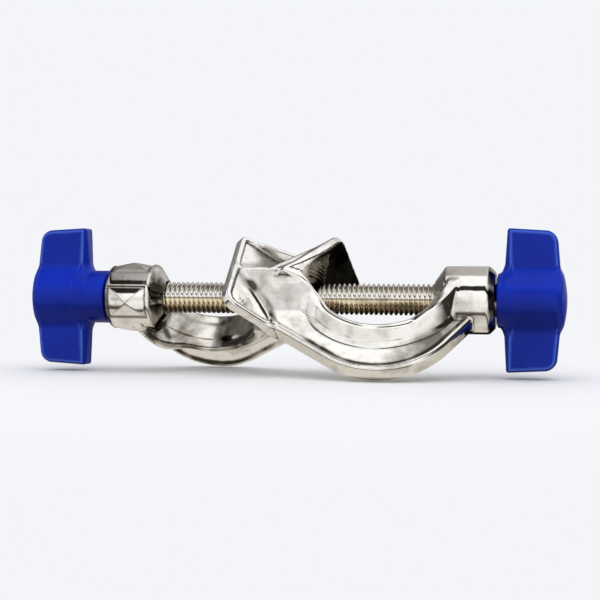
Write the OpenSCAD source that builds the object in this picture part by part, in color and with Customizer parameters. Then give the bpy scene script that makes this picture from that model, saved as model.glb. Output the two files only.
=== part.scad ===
// Boss head clamp: one nickel-plated die casting with two open C-shaped hooks set at
// right angles on a common screw line, and a winged M8 thumb screw in the boss of each hook.
//
// Frame: +X along the screw line towards the right-hand screw, +Z up, the origin on the
// surface that the clamp lies on, below the point where the two hooks cross.
// Each hook is drawn hanging straight down (screw line on X, mouth towards +X, jaw up,
// arm down) and is then turned 45 degrees about the screw line, so the clamp lies on
// the outsides of both arms as it does on a bench.

/* [Crossing] */
// Half the side of the square block in which the two hooks cross
block_half = 8.1; // [7.5:0.1:9]
// Half the length of that block along the screw line
block_reach = 12.4; // [11:0.1:14]
// Distance from the crossing to the bottom of each vee
vee_bottom = 4.35; // [3.6:0.05:5]

/* [Jaws] */
// Half the length of the vee along the rod
jaw_half = 11.5; // [10:0.5:13]
// Thickness of the jaw plate at the bottom of the vee
jaw_thick = 2.35; // [1.8:0.05:3]
// Thickness of the jaw plate at its free edge
jaw_edge_thick = 2.9; // [2:0.1:3.5]
// Length of both jaws from the bottom of the vee at their upper end
jaw_short = 13.6; // [12:0.1:15]
// Radius of the jaws' upper corners
jaw_corner = 1.9; // [1:0.1:3]
// Width of the rib along the upper end of the jaws
rib_width = 1.1; // [0.8:0.1:2]
// Width of the rim round the panel in the outer face of each jaw
panel_rim = 1; // [0.8:0.1:2]
// Depth of that panel where the jaw plate is thinnest
panel_depth = 0.15; // [0.1:0.05:0.4]
// Length of the lead-in at the open upper end of each vee
lead_in = 1.4; // [0.8:0.1:2]
// Distance that the lead-in reaches back over the crossing
lead_back = 3; // [2:0.1:3.6]

/* [Arms] */
// Depth of the throat below the screw line
throat_depth = 13.1; // [12:0.1:14.5]
// Depth of the outside of the arm below the screw line
arm_depth = 24.6; // [23:0.1:26]
// Half the width of the inner flange
flange_half = 5.8; // [5:0.1:6.5]
// Thickness of the inner flange at its edge
flange_edge = 1.5; // [1.2:0.1:2]
// Thickness of the inner flange where it meets the web
flange_root = 4.3; // [3.5:0.1:5]
// Half the thickness of the web
web_half = 2; // [1.5:0.1:2.4]
// Half the width of the bead along the outer edge
bead_half = 2.5; // [2.4:0.1:3]
// Thickness of that bead
bead_thick = 1.4; // [1:0.1:2]
// Slope of the arm's outer edge where it runs into the boss
arm_run_in = 54; // [50:1:58]

/* [Right hook] */
// Length of the right jaw from the bottom of the vee at its lower end
right_jaw_long = 17.4; // [15:0.1:20]
// Height of the rib's back over the crossing
right_rib_root = 2.3; // [1.5:0.1:4]
// Slope of the rib's back
right_rib_slope = 34.4; // [30:0.1:38]
// Distance from the crossing to the inner face of the boss
right_reach = 39.9; // [38:0.1:42]
// Distance from the crossing to the lowest point of the arm
right_arm_x = 24.1; // [22:0.1:26]
// Radius of the throat
right_throat_r = 17.3; // [16:0.1:18.5]
// Radius of the arm's outer edge
right_outer_r = 20.6; // [18:0.1:22]

/* [Left hook] */
// Length of the left jaw from the bottom of the vee at its lower end
left_jaw_long = 14.6; // [13:0.1:20]
// Height of the rib's back over the crossing
left_rib_root = 4.6; // [3:0.1:6]
// Slope of the rib's back
left_rib_slope = 27; // [22:0.1:32]
// Distance from the crossing to the inner face of the boss
left_reach = 34.9; // [33.5:0.1:37]
// Distance from the crossing to the lowest point of the arm
left_arm_x = 21.6; // [20:0.1:23]
// Radius of the throat
left_throat_r = 16.4; // [15.5:0.1:17.5]
// Radius of the arm's outer edge
left_outer_r = 16.2; // [15:0.1:18]

/* [Bosses] */
// Diameter of the bosses
boss_d = 16.7; // [15.5:0.1:18]
// Length of the bosses
boss_len = 12; // [10:0.5:14]
// Chamfer at the outer end of the right boss
boss_chamfer = 1.5; // [1:0.1:2]
// Radius at the outer end of the left boss
boss_round = 2; // [1:0.1:3]
// Length of the tapered collar round the screw inside the throat
collar_len = 2; // [1:0.1:3]
// Diameter of that collar at its thin end
collar_d = 10; // [9.6:0.1:12]

/* [Screws] */
// Outside diameter of the M8 screws
screw_d = 7.9; // [7.7:0.05:8]
// Radial clearance of the screw in its boss, and of its shank in the knob
running_gap = 0.05; // [0.02:0.01:0.1]
// Clearance between the screw's tip and the vee when screwed home
tip_gap = 0.3; // [0.2:0.1:0.6]
// Chamfer at the tip of the screw
tip_chamfer = 0.7; // [0.4:0.1:1]
// Depth to which the screw is sunk in the knob
shank_in_knob = 12.5; // [10:0.5:13]
// Space between a knob's neck and its boss when screwed home
neck_gap = 0.4; // [0.3:0.1:1]

/* [Knobs] */
// Diameter of the knobs' necks
neck_d = 13.5; // [12.5:0.1:14]
// Length of the right knob's neck at the wings
right_neck_len = 1.6; // [1:0.1:4]
// Length of the left knob's neck at the wings
left_neck_len = 5.3; // [1:0.1:6]
// Diameter of the knobs' hubs
hub_d = 13.8; // [13:0.1:15]
// Height of the crown on the end of the hub
crown = 1.5; // [0.8:0.1:2]
// Distance from the screw line to the tip of a wing
wing_tip = 17.7; // [16:0.1:18.6]
// Thickness of the wings where they leave the hub
wing_root_t = 7.6; // [6.5:0.1:8.5]
// Thickness of the wings at their tips
wing_tip_t = 6.4; // [5.5:0.1:7]
// Width of the wings along the screw at the hub
wing_root_w = 13.6; // [12:0.1:15]
// Width of the wings along the screw at their tips
wing_tip_w = 12; // [10:0.1:13]
// Distance that the wings' inner edge leans out at their tips
wing_lean = 0.7; // [0:0.1:2]
// Radius of the wings' outer corners
wing_corner = 2.6; // [1.5:0.1:4]
// Depth of the bevel along the wings' inner edge
wing_bevel = 1.8; // [1:0.1:2.5]
// Radius of the hollow between the hub and the wings
hub_hollow = 3; // [2:0.5:4]
// Angle at which the right knob's wings stand from upright
right_knob_turn = -4; // [-45:1:45]
// Angle at which the left knob's wings stand from upright
left_knob_turn = -2; // [-45:1:45]

/* [Hidden] */
$fn = 96;
eps = 0.02;

bore_r = screw_d / 2 + running_gap;
block_corner = block_half * sqrt(2);
// Height of the screw line above the bench: the clamp lies on the lower edges of both beads
axis_height = (arm_depth + bead_half) * cos(45);
// Where the tip of a screw stands when it is screwed home
tip_x = vee_bottom + screw_d / 2 - tip_chamfer + tip_gap;
right_neck_x = right_reach + boss_len + neck_gap;
left_neck_x = left_reach + boss_len + neck_gap;

// Points of an arc about c, from angle a0 to a1
function arc(c, r, a0, a1, n = 12) =
    [for (i = [0:n]) c + r * [cos(a0 + (a1 - a0) * i / n), sin(a0 + (a1 - a0) * i / n)]];

function unit(v) = v / norm(v);

// A convex outline (counterclockwise) with corner i rounded to radius radii[i]
function rounded(pts, radii, n = 8) = [
    for (i = [0:len(pts) - 1])
        let (
            p = pts[i],
            u = unit(pts[(i + len(pts) - 1) % len(pts)] - p),
            v = unit(pts[(i + 1) % len(pts)] - p),
            half = acos(u * v) / 2,
            r = radii[i],
            c = p + unit(u + v) * r / sin(half),
            a0 = atan2((p + u * r / tan(half) - c)[1], (p + u * r / tan(half) - c)[0]),
            sweep = 180 - 2 * half
        )
        each (r <= 0 ? [p] : arc(c, r, a0, a0 + sweep, n))
];

// Stand a drawing in the X-Z plane up, with thickness 2 * half about Y = 0
module plate(half) {
    translate([0, half, 0])
        rotate([90, 0, 0])
            linear_extrude(2 * half)
                children();
}

// ---- The casting, drawn with each hook hanging straight down ----

// A half-space through three points, solid on the side that (b - a) x (c - a) points to
module beyond(a, b, c) {
    m = unit(cross(b - a, c - a));
    translate(a)
        rotate(a = acos(m[2]), v = cross([0, 0, 1], m))
            translate([-30, -30, 0])
                cube([60, 60, 30]);
}

// The vee that the rod lies in, with a lead-in at its upper end, cut out towards +X
module vee_cut() {
    reach = block_reach - vee_bottom + eps;
    plate(2 * jaw_half)
        polygon([[vee_bottom, 0], [vee_bottom + reach, reach], [vee_bottom + reach, -reach]]);
    // Points of the two lead-in facets: on the crossing's corner, in the vee and on each wall
    top = [vee_bottom - lead_back, -block_corner, 0];
    low = [vee_bottom, lead_in - block_corner, 0];
    up = block_half - 1;
    down = block_half / 2.7;
    intersection() {
        translate([top[0], -2 * block_half, -block_half])
            cube([2 * block_half, block_half, 2 * block_half]);
        beyond(top, low, [vee_bottom + up, -block_corner, up]);
        beyond(top, [vee_bottom + down, down - block_corner, -down], low);
    }
}

// The jaw plate at 45 degrees to the screw line and the rib along its upper end
module jaw(long, corner, rib_root, rib_slope) {
    outline = rounded(
        [[-2 * jaw_thick, -jaw_half], [jaw_short, -jaw_half], [long, jaw_half], [-2 * jaw_thick, jaw_half]],
        [0, jaw_corner, corner, 0]
    );
    root = vee_bottom - jaw_thick * sqrt(2);
    tip = [vee_bottom + long * cos(45), long * cos(45)];
    // The sunk panel in the outer face, inside the rib and a rim of even width
    far = jaw_half - panel_rim;
    near = jaw_half - rib_width;
    panel = rounded(
        [[-3 * jaw_thick, -near], [jaw_short - panel_rim, -near], [long - panel_rim, far], [-3 * jaw_thick, far]],
        [0, jaw_corner, corner - panel_rim, 0]
    );
    difference() {
        intersection() {
            translate([vee_bottom, 0, 0])
                rotate([0, -45, 0])
                    translate([0, 0, -eps])
                        linear_extrude(2 * jaw_edge_thick)
                            polygon(outline);
            plate(jaw_half)
                polygon([[root, 0], [vee_bottom, 0], tip, tip + jaw_edge_thick * [-cos(45), cos(45)]]);
        }
        translate([vee_bottom, 0, 0])
            rotate([0, -45, 0])
                translate([0, 0, jaw_thick - panel_depth])
                    linear_extrude(2 * jaw_edge_thick)
                        polygon(panel);
    }
    // Rib
    end = vee_bottom + (jaw_short - jaw_corner) * cos(45) - jaw_thick * cos(45);
    start = max(-rib_root / tan(rib_slope), -block_half / 2);
    translate([0, rib_width / 2 - jaw_half, 0])
        plate(rib_width / 2)
            polygon([
                [start, 0],
                [vee_bottom, 0],
                [end + jaw_thick * cos(45), end + jaw_thick * cos(45) - vee_bottom],
                [end, rib_root + end * tan(rib_slope)],
                [start, rib_root + start * tan(rib_slope)]
            ]);
}

// Outline of the arm's outer edge, grown inwards by inset
module arm_outline(arm_x, outer_r, reach, inset = 0) {
    r = outer_r - inset;
    c = [arm_x, -(arm_depth - outer_r)];
    // The straight run from the block touches the outer circle here
    start = [-block_half / 4, -(block_corner - inset)];
    gap = c - start;
    a_start = atan2(gap[1], gap[0]) - asin(r / norm(gap)) - 90;
    a_end = arm_run_in - 90;
    out = c + r * [cos(a_end), sin(a_end)];
    run = (-out[1] - boss_d / 4) / sin(arm_run_in);
    polygon(concat(
        [start],
        arc(c, r, a_start, a_end, 40),
        [out + run * [cos(arm_run_in), sin(arm_run_in)]],
        [[reach + boss_len / 2, 0], [0, 0]]
    ));
}

// The throat that the rod and the screw pass through
module throat(arm_x, throat_r) {
    translate([arm_x, throat_r - throat_depth])
        circle(throat_r, $fn = 160);
}

// Half of the flange's section: a thin edge thickening towards the web
module flange_section() {
    for (m = [0, 1])
        mirror([0, m])
            polygon([[0, 0], [0, flange_half], [flange_edge, flange_half], [flange_root, web_half], [flange_root, 0]]);
}

// Inner flange of the arm: along the wall of the vee, then round the throat to the boss
module flange(arm_x, throat_r) {
    rise = throat_r - throat_depth;
    a_boss = -asin((rise + 1) / throat_r);
    translate([arm_x, 0, rise]) {
        rotate([90, 0, 0])
            rotate([0, 0, -135])
                rotate_extrude(angle = 135 + a_boss, $fn = 160)
                    translate([throat_r, 0])
                        flange_section();
        rotate([90, 0, 0])
            rotate([0, 0, -135])
                translate([throat_r, 0, 0])
                    rotate([90, 0, 0])
                        linear_extrude(block_half / 1.4)
                            flange_section();
    }
}

// The arm from the block to the boss
module arm(arm_x, throat_r, outer_r, reach) {
    plate(web_half)
        difference() {
            arm_outline(arm_x, outer_r, reach);
            throat(arm_x, throat_r);
            translate([-block_half, 0]) square([2 * reach, block_half]);
            polygon([[vee_bottom, 0], [reach, 0], [reach, -flange_half], [vee_bottom + flange_half, -flange_half]]);
        }
    plate(bead_half)
        difference() {
            arm_outline(arm_x, outer_r, reach);
            arm_outline(arm_x, outer_r, reach, bead_thick);
            translate([-block_half, -block_half])
                square([2 * reach, 2 * block_half]);
        }
    flange(arm_x, throat_r);
}

// The round boss that the screw runs in, without its bore, with a collar inside the throat
module boss(reach, end) {
    translate([reach, 0, 0])
        rotate([0, 90, 0])
            rotate_extrude()
                polygon(concat(
                    [[0, -collar_len], [collar_d / 2, -collar_len], [boss_d / 2 - 1.5, 0], [boss_d / 2, 0]],
                    end == "round" ? arc([boss_d / 2 - boss_round, boss_len - boss_round], boss_round, 0, 90, 8)
                        : [[boss_d / 2, boss_len - boss_chamfer], [boss_d / 2 - boss_chamfer, boss_len]],
                    [[0, boss_len]]
                ));
}

// The bore also clears the arm where the throat rises to the screw line before the boss
module bore(reach) {
    translate([reach - boss_d, 0, 0])
        rotate([0, 90, 0])
            cylinder(h = boss_len + 2 * boss_d, r = bore_r);
}

module turned_right() rotate([-45, 0, 0]) children();
module turned_left() rotate([0, 0, 180]) rotate([-45, 0, 0]) children();

module clamp_body() {
    color([0.78, 0.76, 0.72])
        translate([0, 0, axis_height])
            difference() {
                union() {
                    translate([-block_reach, -block_half, -block_half])
                        cube([2 * block_reach, 2 * block_half, 2 * block_half]);
                    turned_right() {
                        jaw(right_jaw_long, 2 * jaw_corner, right_rib_root, right_rib_slope);
                        arm(right_arm_x, right_throat_r, right_outer_r, right_reach);
                        boss(right_reach, "chamfer");
                    }
                    turned_left() {
                        jaw(left_jaw_long, 2 * jaw_corner, left_rib_root, left_rib_slope);
                        arm(left_arm_x, left_throat_r, left_outer_r, left_reach);
                        boss(left_reach, "round");
                    }
                }
                turned_right() {
                    vee_cut();
                    bore(right_reach);
                }
                turned_left() {
                    vee_cut();
                    bore(left_reach);
                }
            }
}

// ---- Screws and knobs, drawn for the right-hand side ----

module screw(neck_x) {
    color([0.74, 0.70, 0.62])
        translate([0, 0, axis_height])
            translate([tip_x, 0, 0])
                rotate([0, 90, 0])
                    union() {
                        cylinder(h = tip_chamfer, d1 = screw_d - 2 * tip_chamfer, d2 = screw_d);
                        translate([0, 0, tip_chamfer])
                            cylinder(h = neck_x + shank_in_knob - tip_x - tip_chamfer, d = screw_d);
                    }
}

// The knob seen along the screw: the hub, two tapering wings and the hollows between
module knob_end_view() {
    wing = rounded(
        [[-wing_tip_t / 2, wing_tip], [-wing_root_t / 2, 0], [wing_root_t / 2, 0], [wing_tip_t / 2, wing_tip]],
        [wing_tip_t / 3, 0, 0, wing_tip_t / 3]
    );
    // Centre of the hollow: it touches the hub and the wing's side
    hx = wing_root_t / 2 + hub_hollow - 0.2;
    hy = sqrt(pow(hub_d / 2 + hub_hollow, 2) - hx * hx);
    circle(d = hub_d);
    for (side = [0, 180])
        rotate(side) {
            polygon(wing);
            for (m = [0, 1])
                mirror([m, 0])
                    difference() {
                        polygon([[0, 0], [hx * hub_d / (hub_d + 2 * hub_hollow), hy * hub_d / (hub_d + 2 * hub_hollow)], [hx, hy], [0, hy]]);
                        translate([hx, hy]) circle(hub_hollow);
                    }
        }
}

// The wings seen from the front, their inner edge at the hub on 0
module wing_front_view() {
    for (m = [0, 1])
        mirror([0, m])
            polygon(rounded(
                [
                    [0, 0],
                    [wing_root_w, 0],
                    [wing_root_w, hub_d / 2],
                    [wing_lean + wing_tip_w, wing_tip - 0.7],
                    [wing_lean, wing_tip],
                    [0, hub_d / 2]
                ],
                [0, 0, 0, wing_corner, 0.6, 0]
            ));
}

// The wings seen from above: the bevels along their inner edge
module wing_top_view() {
    half = wing_root_t / 2 + 4;
    flat = wing_tip_t / 4;
    polygon([
        [0, -flat],
        [wing_bevel, -wing_root_t / 2],
        [wing_bevel, -half],
        [wing_root_w + 1, -half],
        [wing_root_w + 1, half],
        [wing_bevel, half],
        [wing_bevel, wing_root_t / 2],
        [0, flat]
    ]);
}

// A knob on the right-hand side, its neck starting at neck_x
module knob(neck_x, neck_len, turn) {
    crown_r = (pow(hub_d / 2, 2) + crown * crown) / (2 * crown);
    color([0.02, 0.10, 0.62])
        translate([neck_x, 0, axis_height])
            rotate([turn, 0, 0])
                difference() {
                    union() {
                        rotate([0, 90, 0])
                            cylinder(h = neck_len + wing_bevel + eps, d = neck_d);
                        translate([neck_len, 0, 0]) {
                            intersection() {
                                rotate([90, 0, 90])
                                    linear_extrude(wing_root_w)
                                        knob_end_view();
                                plate(hub_d)
                                    wing_front_view();
                                translate([0, 0, -wing_tip])
                                    linear_extrude(2 * wing_tip)
                                        wing_top_view();
                            }
                            // The hub's crown and the root that the bevels leave free
                            translate([wing_root_w, 0, 0])
                                rotate([0, 90, 0])
                                    rotate_extrude()
                                        polygon(concat(
                                            [[0, 0]],
                                            arc([0, crown - crown_r], crown_r, asin(1 - crown / crown_r), 90, 10)
                                        ));
                            translate([wing_bevel / 2, 0, 0])
                                rotate([0, 90, 0])
                                    cylinder(h = wing_bevel, d = hub_d - 0.2);
                        }
                    }
                    rotate([0, 90, 0])
                        translate([0, 0, -1])
                            cylinder(h = shank_in_knob + 1 + tip_gap, r = bore_r);
                }
}

module right_screw() screw(right_neck_x);
module left_screw() rotate([0, 0, 180]) screw(left_neck_x);
module right_knob() knob(right_neck_x, right_neck_len, right_knob_turn);
module left_knob() rotate([0, 0, 180]) knob(left_neck_x, left_neck_len, -left_knob_turn);

clamp_body();
right_screw();
left_screw();
right_knob();
left_knob();
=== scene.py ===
# %% [markdown]
# # Boss head clamp
# A boss head holds two rods at right angles on a laboratory stand. One nickel-plated
# casting has two open hooks, crossed back to back on one line, and each hook has an M8
# screw with a winged blue knob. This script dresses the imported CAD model: it keeps every
# place and size, and gives the casting its fillets, the screws their threads and the
# knobs their soft moulded edges. We work in millimetres about the screw line and turn to
# metres only when a mesh is made.

# %% Load the frame
import math

import bpy
import numpy as np
from mathutils import Matrix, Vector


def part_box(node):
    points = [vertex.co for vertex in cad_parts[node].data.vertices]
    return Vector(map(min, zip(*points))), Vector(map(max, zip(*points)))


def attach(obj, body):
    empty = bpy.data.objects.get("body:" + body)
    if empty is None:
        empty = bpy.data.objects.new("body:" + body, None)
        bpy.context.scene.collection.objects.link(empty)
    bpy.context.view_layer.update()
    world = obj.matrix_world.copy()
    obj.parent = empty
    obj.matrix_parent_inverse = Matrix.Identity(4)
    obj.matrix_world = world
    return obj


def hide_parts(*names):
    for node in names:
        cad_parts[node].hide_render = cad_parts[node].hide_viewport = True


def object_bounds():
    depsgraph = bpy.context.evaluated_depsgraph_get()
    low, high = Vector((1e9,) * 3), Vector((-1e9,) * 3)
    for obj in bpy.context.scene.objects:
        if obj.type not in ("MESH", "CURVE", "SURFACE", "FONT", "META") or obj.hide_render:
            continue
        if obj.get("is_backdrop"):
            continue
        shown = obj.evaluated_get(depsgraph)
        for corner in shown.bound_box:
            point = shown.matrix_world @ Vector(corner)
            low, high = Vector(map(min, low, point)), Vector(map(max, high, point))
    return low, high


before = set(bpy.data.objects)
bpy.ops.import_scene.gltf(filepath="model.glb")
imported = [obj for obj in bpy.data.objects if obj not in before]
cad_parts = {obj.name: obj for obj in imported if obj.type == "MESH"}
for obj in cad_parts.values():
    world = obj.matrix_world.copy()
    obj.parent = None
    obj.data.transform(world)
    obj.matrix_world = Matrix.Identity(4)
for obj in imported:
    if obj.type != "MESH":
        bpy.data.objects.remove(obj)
cad_low, cad_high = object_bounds()
MM = 0.001
screw_low, screw_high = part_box("right_screw")
axis_height = (screw_low.z + screw_high.z) / 2 / MM
print("screw line %.3f mm above the bench" % axis_height)

# %% [markdown]
# ## Camera
# The clamp lies on its two arms. The camera stands at bench height, a little above and to
# the right, with a long lens, so that the two knobs look almost the same size. Its pose is
# four columns, right, up, backward and place, because that is easier to reason about than
# three turns in a row.

# %% Camera
camera_data = bpy.data.cameras.new("bench_camera")
camera_data.sensor_width = 36
camera_data.lens = 85.87
camera = bpy.data.objects.new("bench_camera", camera_data)
bpy.context.scene.collection.objects.link(camera)
yaw, rise, roll = (math.radians(a) for a in (11.41, 2.26, 0.13))
backward = np.array([math.sin(yaw) * math.cos(rise), -math.cos(yaw) * math.cos(rise), math.sin(rise)])
level = np.array([math.cos(yaw), math.sin(yaw), 0.0])
upward = np.cross(backward, level)
camera_right = level * math.cos(roll) + upward * math.sin(roll)
camera_up = upward * math.cos(roll) - level * math.sin(roll)
eye = np.array([74.165, -354.119, 13.9 + axis_height]) * MM
pose = np.eye(4)
pose[:3] = np.stack([camera_right, camera_up, backward, eye], axis=1)
camera.matrix_world = Matrix(pose.tolist())
bpy.context.scene.camera = camera
print("camera %.0f mm from the crossing" % (np.linalg.norm(eye) / MM))

# %% [markdown]
# ## Shader helpers
# A material or a world is a small tree of nodes. They could be set one by one, with a line
# for each socket and each link. A few helpers keep the cells short instead: each adds one
# node, feeds its sockets and hands back the socket that holds its result.

# %% Shader helpers
def add(tree, kind, **values):
    """Add a node of this kind; names that match an input set it, the rest are properties."""
    node = tree.nodes.new(kind)
    for name, value in values.items():
        socket = node.inputs.get(name.replace("_", " ").title()) or node.inputs.get(name)
        if socket is not None:
            socket.default_value = value
        else:
            setattr(node, name, value)
    return node


def join(tree, source, output, target, entry):
    """Lead one node's output to another's input."""
    tree.links.new(source.outputs[output], target.inputs[entry])


def feed(tree, socket, value):
    """Give a socket a number or a colour, or lead another socket into it."""
    if isinstance(value, tuple):
        socket.default_value = (*value, 1)
    elif isinstance(value, (int, float)):
        socket.default_value = value
    else:
        tree.links.new(value, socket)


def sums(tree, operation, *terms):
    """One step of arithmetic on sockets or numbers; returns the result's socket."""
    node = add(tree, "ShaderNodeMath", operation=operation)
    for place, value in enumerate(terms):
        feed(tree, node.inputs[place], value)
    return node.outputs[0]


def ramp(tree, factor, stops):
    """A colour ramp from (position, grey or colour) stops; returns its colour socket."""
    node = add(tree, "ShaderNodeValToRGB")
    elements = node.color_ramp.elements
    while len(elements) < len(stops):
        elements.new(0.5)
    for element, (position, tone) in zip(elements, stops):
        element.position = position
        element.color = (*tone, 1) if isinstance(tone, tuple) else (tone, tone, tone, 1)
    tree.links.new(factor, node.inputs[0])
    return node.outputs[0]


def mixed(tree, kind, factor, a, b):
    """Two colours mixed in this way; returns the colour socket."""
    node = add(tree, "ShaderNodeMix", data_type="RGBA", blend_type=kind)
    colour_inputs = [socket for socket in node.inputs if socket.type == "RGBA"]
    for socket, value in zip([node.inputs[0]] + colour_inputs, (factor, a, b)):
        feed(tree, socket, value)
    return [socket for socket in node.outputs if socket.type == "RGBA"][0]


def blend(tree, factor, a, b):
    """Colour a where the factor is 0 and b where it is 1."""
    return mixed(tree, "MIX", factor, a, b)


def tint(tree, a, b):
    """Two colours multiplied."""
    return mixed(tree, "MULTIPLY", 1.0, a, b)


print("helpers: add, join, feed, sums, ramp, blend, tint")

# %% [markdown]
# ## Studio
# Polished nickel is seen almost only by what it mirrors, so the room round it is part of
# the finish. The room could be built from many lit cards, but they would have to be moved
# for every view. Here it is the world: its brightness is a function of direction alone,
# so it stays put when the camera moves. We start with the three parts of a direction, each
# as a share from 0 to 1, and a slow noise that keeps the edges of things from being ruled.

# %% Directions in the room
world = bpy.data.worlds.new("studio")
bpy.context.scene.world = world
world.use_nodes = True
sky = world.node_tree
sky.nodes.clear()
bpy.context.scene.view_settings.view_transform = "Standard"
direction = add(sky, "ShaderNodeTexCoord")
parts = add(sky, "ShaderNodeSeparateXYZ")
join(sky, direction, "Generated", parts, 0)
across, depth, height = parts.outputs
across_share = sums(sky, "MULTIPLY_ADD", across, 0.5, 0.5)
depth_share = sums(sky, "MULTIPLY_ADD", depth, 0.5, 0.5)
height_share = sums(sky, "MULTIPLY_ADD", height, 0.5, 0.5)
wall = add(sky, "ShaderNodeTexNoise", Scale=3.2, Detail=4.0, Roughness=0.62)
join(sky, direction, "Generated", wall, "Vector")
uneven = sums(sky, "MULTIPLY_ADD", wall.outputs[0], 0.05, -0.025)
tilted = sums(sky, "MULTIPLY_ADD", across, 0.17, height_share)
wavy_height = sums(sky, "ADD", tilted, uneven)
print("room directions in %d nodes" % len(sky.nodes))

# %% [markdown]
# ### Front of the room
# From below, the front half is a beige sheet, a dark gap under its far edge, a white card
# and the white roof. Two gaps where the lamps part give the barrels their thin dark
# strips, so they stop in the middle, over the arms. The roof is grey on the left, and
# the white card is clouded at eye height, because a real one never looks even in metal.

# %% Front of the room
near_beige, far_beige, soot = (0.66, 0.62, 0.55), (0.50, 0.46, 0.40), (0.03, 0.027, 0.022)
card_white = (1.06, 1.05, 1.03)
front = ramp(sky, wavy_height, [
    (0.00, near_beige), (0.09, far_beige), (0.120, (0.05, 0.045, 0.04)), (0.165, (0.16, 0.14, 0.12)),
    (0.21, (0.80, 0.77, 0.72)), (0.40, (0.95, 0.935, 0.91)), (0.62, card_white), (1.0, card_white)])
gap = ramp(sky, wavy_height, [(0.755, 0.0), (0.775, 1.0), (0.862, 1.0), (0.882, 0.0)])
off_middle = ramp(sky, across_share, [(0.355, 1.0), (0.378, 0.0), (0.425, 0.0), (0.448, 1.0)])
front = blend(sky, sums(sky, "MULTIPLY", gap, off_middle), front, soot)
clouds = ramp(sky, wall.outputs[0], [(0.30, 0.30), (0.40, 0.70), (0.56, 1.0)])
eye_level = ramp(sky, height_share, [(0.38, 0.0), (0.45, 1.0), (0.56, 1.0), (0.66, 0.0)])
front = blend(sky, eye_level, front, tint(sky, front, clouds))
roof = ramp(sky, across_share, [(0.33, 0.30), (0.372, 0.50), (0.402, 1.0)])
overhead = ramp(sky, height_share, [(0.86, 0.0), (0.93, 1.0)])
front = blend(sky, overhead, front, tint(sky, front, roof))
print("front of the room in %d nodes" % len(sky.nodes))

# %% [markdown]
# ### Rear of the room
# Behind the clamp the beige sheet runs out to a dark far edge, and a grey wall rises over
# it that is white only high on the right. A doorway on the right is dark at eye height,
# and gives the ends of the arm their black streaks.

# %% Rear of the room
low_rear = ramp(sky, height_share, [
    (0.10, near_beige), (0.30, far_beige), (0.44, (0.20, 0.18, 0.16)), (0.50, (0.40, 0.38, 0.35))])
high_rear = ramp(sky, across_share, [
    (0.30, (0.20, 0.19, 0.175)), (0.45, (0.44, 0.42, 0.39)), (0.72, (1.04, 1.03, 1.02))])
rear = blend(sky, ramp(sky, height_share, [(0.46, 0.0), (0.60, 1.0)]), low_rear, high_rear)
room = blend(sky, ramp(sky, depth_share, [(0.48, 0.0), (0.56, 1.0)]), front, rear)
far_right = ramp(sky, across_share, [(0.84, 0.0), (0.93, 1.0)])
door_height = ramp(sky, height_share, [(0.22, 0.0), (0.34, 1.0), (0.60, 1.0), (0.72, 0.0)])
room = blend(sky, sums(sky, "MULTIPLY", far_right, door_height), room, (0.035, 0.03, 0.025))
print("whole room in %d nodes" % len(sky.nodes))

# %% [markdown]
# ### Who sees the room
# Only a mirrored ray sees this room. Matt things, such as the bench, see an even tent, and
# the camera sees a pale wall. The Light Path node tells these rays apart.

# %% Who sees the room
pale_wall = (0.905, 0.913, 0.94)
paths = add(sky, "ShaderNodeLightPath")
mirrored = sums(sky, "MAXIMUM", paths.outputs["Is Glossy Ray"], paths.outputs["Is Transmission Ray"])
unseen = blend(sky, mirrored, (0.84, 0.845, 0.86), room)
seen = blend(sky, paths.outputs["Is Camera Ray"], unseen, pale_wall)
glow = add(sky, "ShaderNodeBackground", Strength=1.0)
sky.links.new(seen, glow.inputs[0])
output = add(sky, "ShaderNodeOutputWorld")
join(sky, glow, 0, output, 0)
print("world of %d nodes" % len(sky.nodes))

# %% [markdown]
# ### Bench
# The bench is white paper that runs up into the wall behind with no line between them. A
# curved sheet could do that. It is simpler to let the paper fade into the wall's own
# colour a hand's breadth from the clamp, with a Mix Shader driven by the distance.

# %% Bench
def lay(name, low, high, height, paint):
    """A flat rectangle from its low corner to its high corner, at this height in metres."""
    mesh = bpy.data.meshes.new(name)
    corners = [(low[0], low[1]), (high[0], low[1]), (high[0], high[1]), (low[0], high[1])]
    mesh.from_pydata([(*corner, height) for corner in corners], [], [(0, 1, 2, 3)])
    mesh.materials.append(paint)
    piece = bpy.data.objects.new(name, mesh)
    bpy.context.scene.collection.objects.link(piece)
    return piece


bench_paint = bpy.data.materials.new("bench_white")
bench_paint.use_nodes = True
bench = bench_paint.node_tree
bench.nodes.clear()
paper = add(bench, "ShaderNodeBsdfDiffuse", Color=(0.93, 0.935, 0.95, 1))
beyond = add(bench, "ShaderNodeEmission", Color=(*pale_wall, 1), Strength=1.0)
distance = add(bench, "ShaderNodeVectorMath", operation="LENGTH")
join(bench, add(bench, "ShaderNodeNewGeometry"), "Position", distance, 0)
fade = ramp(bench, distance.outputs["Value"], [(0.075, 0.0), (0.17, 1.0)])
meet = add(bench, "ShaderNodeMixShader")
bench.links.new(fade, meet.inputs[0])
join(bench, paper, 0, meet, 1)
join(bench, beyond, 0, meet, 2)
join(bench, meet, 0, add(bench, "ShaderNodeOutputMaterial"), 0)
floor = lay("bench", (-6.0, -6.0), (6.0, 6.0), 0, bench_paint)
floor.visible_glossy = False
floor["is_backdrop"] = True
print("bench fades into the wall from 75 mm to 170 mm")

# %% [markdown]
# ### Lamp and black card
# A large weak lamp over the bench gives the soft shadow under the clamp. A black card lies
# behind the right screw and puts a dark edge into the bright metal. Only the metal sees it:
# its own gloss is off and it casts no shadow.

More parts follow.
